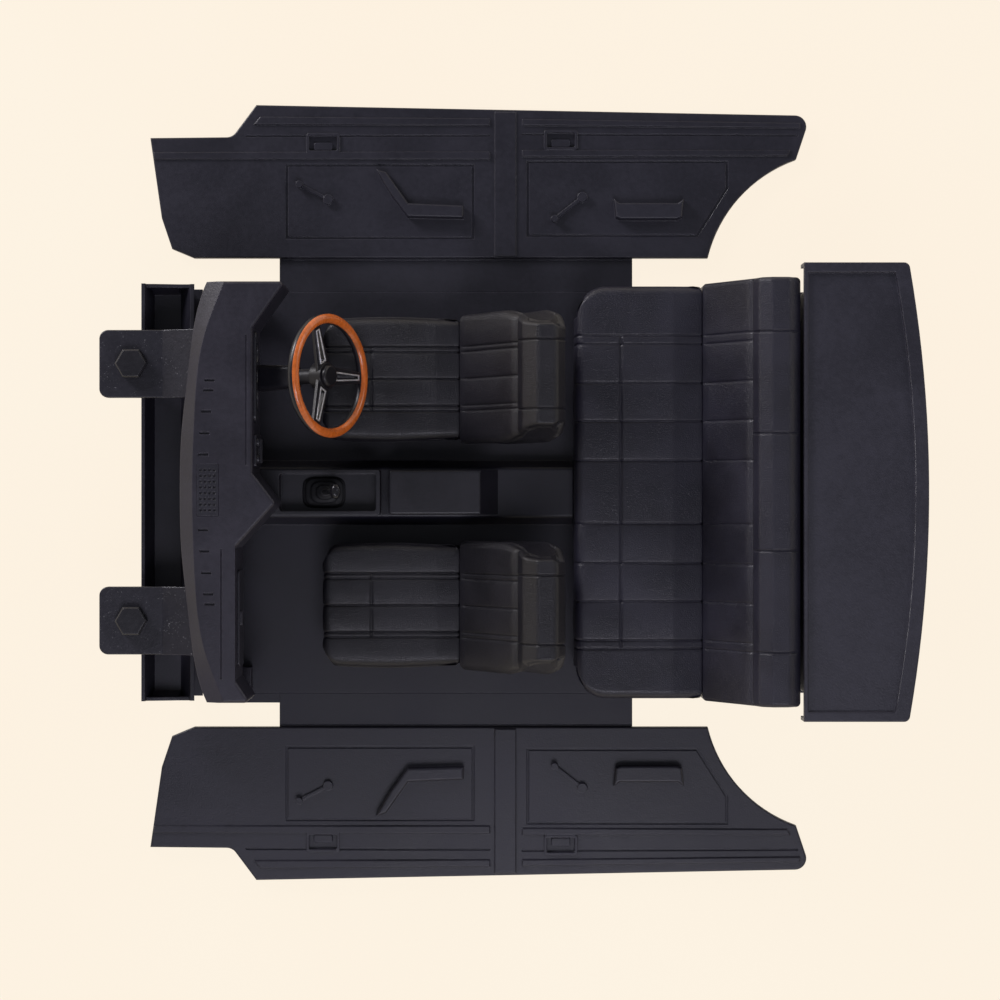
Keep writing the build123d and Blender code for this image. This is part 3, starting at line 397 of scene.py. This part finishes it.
def normals_of(points):
    """Outward normals of a closed profile."""
    count = len(points)
    area = sum(points[i - 1].x * points[i].y - points[i].x * points[i - 1].y for i in range(count))
    side = 1.0 if area > 0 else -1.0
    result = []
    for i in range(count):
        run = (points[(i + 1) % count] - points[i - 1]).normalized()
        result.append(Vector((run.y, -run.x)) * side)
    return result


def stations(half, grooves, rounding, step):
    """Positions across the car, close together at the grooves and in the rounded ends."""
    found = {0.0}
    count = int(half / step)
    for k in range(1, count):
        found.add(half * k / count)
    for groove in grooves:
        for shift in GROOVE_SHIFTS:
            found.add(abs(abs(groove) + shift))
    for k in range(11):
        found.add(half - rounding * (1.0 - math.cos(math.pi / 2 * k / 10)))
    kept = []
    for value in sorted(v for v in found if v <= half):
        if not kept or value - kept[-1] > LEAST_STATION:
            kept.append(value)
    kept[-1] = half
    return [-v for v in reversed(kept[1:])] + kept


# Rings that close each end of a cushion: size against the outline, and share of the pull inwards.
END_RINGS = (
    (0.97, 0.05), (0.93, 0.12), (0.88, 0.25), (0.82, 0.40),
    (0.75, 0.55), (0.66, 0.70), (0.55, 0.85), (0.28, 1.0),
)
STATION_STEP = 1.4


def upholstery(bm, corners, half, centre, relief, width_at, grooves, seams, rounding, inner, step=0.9,
               pull=0.5):
    """Sweeps the profile across, adds the relief along its normals, rounds both ends and closes them.
    relief(mark, y, point) gives millimetres outwards; width_at(point) the half width there."""
    points, marks = outline(corners, step, seams)
    normals = normals_of(points)
    middle = sum(points, Vector((0.0, 0.0))) / len(points)
    rings = []
    for y in stations(half, grooves, rounding, STATION_STEP):
        gap = half - abs(y)
        inset = rounding - math.sqrt(max(0.0, rounding ** 2 - max(0.0, rounding - gap) ** 2))
        ring = []
        for point, normal, mark in zip(points, normals, marks):
            width = width_at(point)
            across = abs(y)
            if across > inner:
                across = inner + (across - inner) * (width - inner) / (half - inner)
            shown = smoothstep(0.0, 1.0, mark)
            out = relief(mark, y, point) * shown * smoothstep(0.0, rounding, gap) - inset * shown
            spot = point + normal * out
            ring.append(bm.verts.new((spot.x * MM, (centre + math.copysign(across, y)) * MM, spot.y * MM)))
        rings.append(ring)
    for first, second in zip(rings, rings[1:]):
        for i in range(len(first)):
            bm.faces.new((first[i - 1], first[i], second[i], second[i - 1]))
    for ring, side in ((rings[0], -1.0), (rings[-1], 1.0)):
        last = ring
        for scale, sink in END_RINGS:
            nearer = []
            for vert in ring:
                spot = middle.lerp(Vector((vert.co.x, vert.co.z)) / MM, scale)
                across = width_at(spot) - pull * sink
                nearer.append(bm.verts.new((spot.x * MM, (centre + side * across) * MM, spot.y * MM)))
            for i in range(len(ring)):
                bm.faces.new((last[i - 1], last[i], nearer[i], nearer[i - 1]))
            last = nearer
        bm.faces.new(last)


def groove(value, at, width=0.30):
    return math.exp(-(((value - at) / width) ** 2))


def box_mm(name):
    low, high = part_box(name)
    return low / MM, high / MM


PLEATS = (9.1, 10.9)


def seat_pleats(y, depth):
    cut = groove(y, 0.0) + sum(groove(abs(y), pleat) for pleat in PLEATS)
    channel = (1.0 - ((abs(y) - 4.5) / 4.6) ** 2) if abs(y) < PLEATS[0] else 0.0
    bolster = (1.0 - ((abs(y) - 15.6) / 5.2) ** 2) if abs(y) > PLEATS[1] else 0.0
    return 0.34 * max(0.0, channel) + 0.40 * max(0.0, bolster) - depth * cut


def cushion_relief(mark, y, point):
    """Marks: 1 front foot, 2 front edge, 3 rear edge of the top."""
    front = smoothstep(1.2, 1.7, mark)
    panel = seat_pleats(y, 0.62) * front
    seam = groove((mark - 2.31) * 46.0, 0.0, 0.42) * 0.45 if abs(y) < 10.9 else 0.0
    return panel - seam


def back_relief(mark, y, point):
    """Marks: 1 foot of the front, 2 roll seam, 3 front of the roll, 4 its rear edge, 5 back."""
    on_panel = smoothstep(1.0, 1.1, mark) * (1.0 - smoothstep(1.97, 2.03, mark))
    on_roll = smoothstep(2.0, 2.2, mark) * (1.0 - smoothstep(4.6, 5.0, mark))
    panel = seat_pleats(y, 0.55) * on_panel
    roll = -0.70 * groove(abs(y), 11.3, 0.28) * on_roll
    seam = 0.75 * groove((mark - 2.0) * 8.0, 0.0, 0.40)
    return panel + roll - seam


SEATS = {"driver": 38.5, "passenger": -38.5}
CUSHION_HALF, BACK_HALF = 21.5, 22.0
CUSHION_LEAN, BENCH_LEAN = 0.6, 0.8  # how far the front faces lean back towards the foot
for who, seat_y in SEATS.items():
    low, high = box_mm(who + "_seat_cushion")
    front, rear, top, foot = low.x, high.x, high.z, low.z

    def cushion_width(point, front=front, foot=foot, top=top):
        near = max(0.0, point.x - front - CUSHION_LEAN)
        corner = 5.0 - math.sqrt(max(0.0, 25.0 - (5.0 - near) ** 2)) if near < 5.0 else 0.0
        waist = 0.55 * ((point.y - (foot + top) / 2) / ((top - foot) / 2)) ** 2
        swell = 0.9 * (1.0 - smoothstep(0.0, 30.0, abs(point.x - (front + 22.0))))
        return CUSHION_HALF - 0.9 + swell - corner - waist

    cushion_corners = [
        (rear, foot, 0.0, 0.0), (front + 0.6, foot, 0.5, 1.0), (front, foot + 5.5, 3.0, 1.5),
        (front + 0.4, top - 0.6, 3.0, 2.0), (rear - 8.0, top - 0.4, 9.0, 2.8), (rear, top - 1.6, 0.4, 3.0),
    ]
    piece(
        lambda bm, c=cushion_corners, w=cushion_width, y0=seat_y: upholstery(
            bm, c, CUSHION_HALF, y0, cushion_relief, w, (0.0,) + PLEATS, (2.31,), 2.8, 12.4, pull=0.7),
        who + "_cushion_trim", "tub", "seat_plastic", [who + "_seat_cushion"])

    low, high = box_mm(who + "_seat_back")

    def back_width(point):
        taper = 5.2 * smoothstep(42.0, 62.5, point.y) if point.y > 42.0 else 0.0
        rear_corner = 2.2 * smoothstep(13.5, 18.2, point.x) * smoothstep(50.0, 56.0, point.y)
        return BACK_HALF - taper - rear_corner - 0.5 * (1.0 - smoothstep(9.0, 20.0, point.y))

    back_corners = [
        (-2.0, 9.0, 0.0, 0.0), (-17.3, 9.0, 0.0, 0.4), (-17.3, 24.0, 1.0, 1.0), (2.0, 51.4, 0.6, 2.0),
        (3.6, 56.2, 2.6, 2.6), (8.6, 61.0, 2.8, 3.0), (15.0, 60.6, 3.0, 4.0), (17.9, 55.6, 2.4, 4.5),
        (17.2, 50.0, 2.6, 5.0), (-1.6, 12.0, 1.0, 5.5),
    ]
    piece(
        lambda bm, c=back_corners, w=back_width, y0=seat_y: upholstery(
            bm, c, BACK_HALF, y0, back_relief, w, (0.0, 11.3) + PLEATS, (2.0,), 2.6, 12.6, pull=0.8),
        who + "_back_trim", "tub", "seat_plastic", [who + "_seat_back"])

# ------------------------------------------------------------------ rear bench
BENCH_HALF, BENCH_BACK_HALF = 70.4, 71.0
BENCH_LINES = (10.7, 24.1, 37.1, 50.3, 53.2)
ROLL_LINES = (19.4, 53.0)


def bench_pleats(y, depth):
    across = abs(y)
    cut = sum(groove(across, line) for line in BENCH_LINES)
    edges = (-10.7,) + BENCH_LINES[:4]
    for left, right in zip(edges, edges[1:]):
        if left < across <= right:
            swell = 1.0 - ((across - (left + right) / 2) / ((right - left) / 2)) ** 2
            return 0.30 * swell - depth * cut
    return -depth * cut


def bench_relief(mark, y, point):
    """Marks: 1 front foot, 2 front edge, 3 rear edge of the top."""
    panel = bench_pleats(y, 0.5) * smoothstep(1.2, 1.7, mark)
    seam = 0.45 * groove((mark - 2.33) * 43.0, 0.0, 0.42) if abs(y) < 53.0 else 0.0
    return panel - seam


def bench_back_relief(mark, y, point):
    """Marks: 1 foot of the front, 2 roll seam, 3 front of the roll, 4 rear edge."""
    on_panel = smoothstep(1.0, 1.1, mark) * (1.0 - smoothstep(1.97, 2.03, mark))
    on_roll = smoothstep(2.0, 2.2, mark) * (1.0 - smoothstep(3.9, 4.0, mark))
    lines = sum(groove(abs(y), line) for line in ROLL_LINES)
    seam = 0.75 * groove((mark - 2.0) * 9.0, 0.0, 0.42)
    return bench_pleats(y, 0.45) * on_panel - 0.6 * lines * on_roll - seam


low, high = box_mm("rear_bench_cushion")
BENCH = {"front": low.x, "rear": high.x, "top": high.z, "foot": low.z}


def bench_width(point):
    near = max(0.0, point.x - BENCH["front"] - BENCH_LEAN)
    corner = 10.0 - math.sqrt(max(0.0, 100.0 - (10.0 - near) ** 2)) if near < 10.0 else 0.0
    waist = 0.4 * ((point.y - 13.0) / 13.0) ** 2
    return BENCH_HALF - corner - waist


bench_corners = [
    (BENCH["rear"], BENCH["foot"], 0.0, 0.0), (BENCH["front"] + 0.8, BENCH["foot"], 0.5, 1.0),
    (BENCH["front"], 12.0, 5.0, 1.4), (BENCH["front"] + 0.5, BENCH["top"] - 0.5, 3.4, 2.0),
    (BENCH["rear"] - 10.0, BENCH["top"] - 0.4, 10.0, 2.8), (BENCH["rear"], BENCH["top"] - 2.0, 0.4, 3.0),
]
piece(
    lambda bm: upholstery(
        bm, bench_corners, BENCH_HALF, 0.0, bench_relief, bench_width,
        BENCH_LINES, (2.33,), 3.0, 55.0, step=1.1),
    "bench_cushion_trim", "tub", "bench_plastic", ["rear_bench_cushion"])

bench_back_corners = [
    (78.0, 1.2, 0.0, 0.0), (65.3, 1.2, 0.0, 0.4), (65.3, 24.0, 1.0, 1.0), (80.0, 44.8, 0.8, 2.0),
    (81.9, 49.0, 2.6, 2.5), (86.2, 51.1, 2.8, 3.0), (92.0, 50.9, 3.0, 3.6), (95.8, 48.0, 1.0, 4.0),
    (94.2, 42.0, 1.0, 4.4),
]
piece(
    lambda bm: upholstery(
        bm, bench_back_corners, BENCH_BACK_HALF, 0.0, bench_back_relief, lambda point: BENCH_BACK_HALF,
        BENCH_LINES + ROLL_LINES,
        (2.0,), 1.6, 55.0, step=1.1),
    "bench_back_trim", "tub", "bench_plastic", ["rear_bench_back"])


# ------------------------------------------------------------------ gear lever boot and knob
def loft_rings(bm, rings):
    rows = [[bm.verts.new(spot) for spot in ring] for ring in rings]
    for first, second in zip(rows, rows[1:]):
        for i in range(len(first)):
            bm.faces.new((first[i - 1], first[i], second[i], second[i - 1]))
    bm.faces.new(rows[0])
    bm.faces.new(rows[-1])


def superellipse(centre, half_x, half_y, z, power, count=48):
    ring = []
    for k in range(count):
        angle = 2 * math.pi * k / count
        c, s = math.cos(angle), math.sin(angle)
        ring.append((
            (centre[0] + math.copysign(abs(c) ** (2 / power), c) * half_x) * MM,
            (centre[1] + math.copysign(abs(s) ** (2 / power), s) * half_y) * MM,
            z * MM,
        ))
    return ring


low, high = box_mm("gear_boot")
BOOT = ((low + high) / 2, low, high)


def boot(bm):
    """Rubber gaiter: a skirt, then three pleats that shrink towards the lever."""
    middle, low, high = BOOT
    rings = []
    rows = 46
    for k in range(rows + 1):
        t = k / rows
        z = low.z + 0.1 + (high.z - low.z - 0.2) * t
        shrink = smoothstep(0.0, 1.0, t) * 0.35 + 0.65 * t
        pleat = 0.55 * math.cos(2 * math.pi * 3.5 * t) * smoothstep(0.0, 0.12, t) * (1.0 - 0.4 * t)
        half_x = 7.4 + (1.9 - 7.4) * shrink + pleat
        half_y = 5.4 + (1.7 - 5.4) * shrink + pleat
        rings.append(superellipse((middle.x + 0.8 * t, 0.0), half_x, half_y, z, 4.0 - 1.8 * t))
    loft_rings(bm, rings)


piece(boot, "gear_gaiter", "tub", "boot_plastic", ["gear_boot"])

low, high = box_mm("gear_knob")
KNOB_CENTRE = (low + high) / 2
lever_low, lever_high = box_mm("gear_lever")
LEVER_LEAN = math.atan2(lever_high.x - lever_low.x - 1.6, lever_high.z - lever_low.z)


def knob(bm):
    """Oval knob with a collar underneath and a shallow dish on top, along the leaning lever."""
    profile = [
        (-2.55, 0.40), (-2.5, 0.46), (-2.0, 0.50), (-1.7, 0.52), (-1.6, 0.66), (-1.3, 0.80),
        (-0.7, 0.95), (0.0, 1.0), (0.8, 0.98), (1.4, 0.88), (1.8, 0.70),
        (2.0, 0.48), (1.95, 0.30), (1.85, 0.14), (1.82, 0.05),
    ]
    rings = [superellipse((0.0, 0.0), 1.75 * r, 2.5 * r, z, 2.3, 40) for z, r in profile]
    turn = Matrix.Translation(KNOB_CENTRE * MM) @ Matrix.Rotation(LEVER_LEAN, 4, "Y")
    loft_rings(bm, [[turn @ Vector(spot) for spot in ring] for ring in rings])


piece(knob, "gear_knob_grip", "tub", "knob_plastic", ["gear_knob"])


# ------------------------------------------------------------------ thin hinge webs between the floor and the cards
def hinge_strip(name, side, node):
    low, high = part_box(node)

    def strip(bm):
        """Thin web, thinner along its middle, in 1 mm lengths."""
        near, far = (low.y, high.y) if side > 0 else (high.y, low.y)
        lengths = 124
        depths = [(0.0, 0.0), (0.2, 0.00004), (0.5, 0.00008), (0.8, 0.00004), (1.0, 0.0)]
        rows = []
        for k in range(lengths + 1):
            x = low.x + (high.x - low.x) * k / lengths
            top = [bm.verts.new((x, near + (far - near) * t, high.z - d)) for t, d in depths]
            under = [bm.verts.new((x, near + (far - near) * t, low.z + d * 0.5)) for t, d in reversed(depths)]
            rows.append(top + under)
        for first, second in zip(rows, rows[1:]):
            for i in range(len(first)):
                bm.faces.new((first[i - 1], first[i], second[i], second[i - 1]))
        bm.faces.new(rows[0])
        bm.faces.new(rows[-1])

    strip_piece = piece(strip, name, None, "card_plastic", [node], smooth=False)
    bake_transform(strip_piece)


hinge_strip("right_hinge_web", 1, "right_fold_strip")
hinge_strip("left_hinge_web", -1, "left_fold_strip")

# ------------------------------------------------------------------ pale floor, soft light
FLOOR_SIZE, FLOOR_DROP = 6.0, 0.0004
FLOOR_GLOW, GLOW_SHARE = 1.0, 0.96
HORIZON, HORIZON_COLOUR = 0.02, rgb(254, 243, 226)
ZENITH, ZENITH_COLOUR = 0.60, (0.16, 0.165, 0.18, 1.0)

floor_graph = Graph("studio_floor")
tint = floor_graph.blend(
    floor_graph.span(floor_graph.noise(3.0), 0.3, 0.7), rgb(254, 242, 225), rgb(254, 244, 228))
cover = floor_graph.add("ShaderNodeBsdfDiffuse")
floor_graph.join(tint, cover.inputs["Color"])
glow = floor_graph.add("ShaderNodeEmission")
floor_graph.join(tint, glow.inputs["Color"])
glow.inputs["Strength"].default_value = FLOOR_GLOW
share = floor_graph.add("ShaderNodeMixShader")
share.inputs[0].default_value = GLOW_SHARE
floor_graph.join(cover.outputs[0], share.inputs[1])
floor_graph.join(glow.outputs[0], share.inputs[2])
floor_output = floor_graph.add("ShaderNodeOutputMaterial")
floor_graph.join(share.outputs[0], floor_output.inputs["Surface"])

floor_mesh = bpy.data.meshes.new("studio_floor")
bm = bmesh.new()
bmesh.ops.create_grid(bm, x_segments=8, y_segments=8, size=FLOOR_SIZE)
for vert in bm.verts:
    vert.co.z = -FLOOR_DROP
bm.to_mesh(floor_mesh)
bm.free()
floor_mesh.materials.append(floor_graph.material)
studio_floor = bpy.data.objects.new("studio_floor", floor_mesh)
bpy.context.scene.collection.objects.link(studio_floor)

world = bpy.data.worlds.new("studio")
bpy.context.scene.world = world
world.use_nodes = True
tree = world.node_tree
tree.nodes.clear()
direction = tree.nodes.new("ShaderNodeTexCoord")
split = tree.nodes.new("ShaderNodeSeparateXYZ")
ramp = tree.nodes.new("ShaderNodeValToRGB")
background = tree.nodes.new("ShaderNodeBackground")
world_output = tree.nodes.new("ShaderNodeOutputWorld")
tree.links.new(direction.outputs["Generated"], split.inputs[0])
tree.links.new(split.outputs["Z"], ramp.inputs["Fac"])
tree.links.new(ramp.outputs["Color"], background.inputs["Color"])
tree.links.new(background.outputs[0], world_output.inputs["Surface"])
low_stop, high_stop = ramp.color_ramp.elements
low_stop.position, low_stop.color = HORIZON, HORIZON_COLOUR
high_stop.position, high_stop.color = ZENITH, ZENITH_COLOUR
background.inputs["Strength"].default_value = 1.0

LIGHTS = [
    # name, place, size, watts, colour
    ("key_softbox", (-0.86, 0.84, 0.50), 0.42, 10.0, (0.97, 0.95, 1.0)),
    ("fill_softbox", (0.06, -0.64, 1.15), 0.60, 4.8, (0.89, 0.87, 1.0)),
    ("rear_softbox", (0.90, 0.55, 0.55), 0.45, 1.4, (0.96, 0.97, 1.0)),
]
for name, place, size, watts, colour in LIGHTS:
    lamp = bpy.data.lights.new(name, "AREA")
    lamp.shape = "DISK"
    lamp.size = size
    lamp.energy = watts
    lamp.color = colour
    holder = bpy.data.objects.new(name, lamp)
    holder.location = place
    holder.rotation_euler = (-Vector(place)).to_track_quat("-Z", "Y").to_euler()
    bpy.context.scene.collection.objects.link(holder)
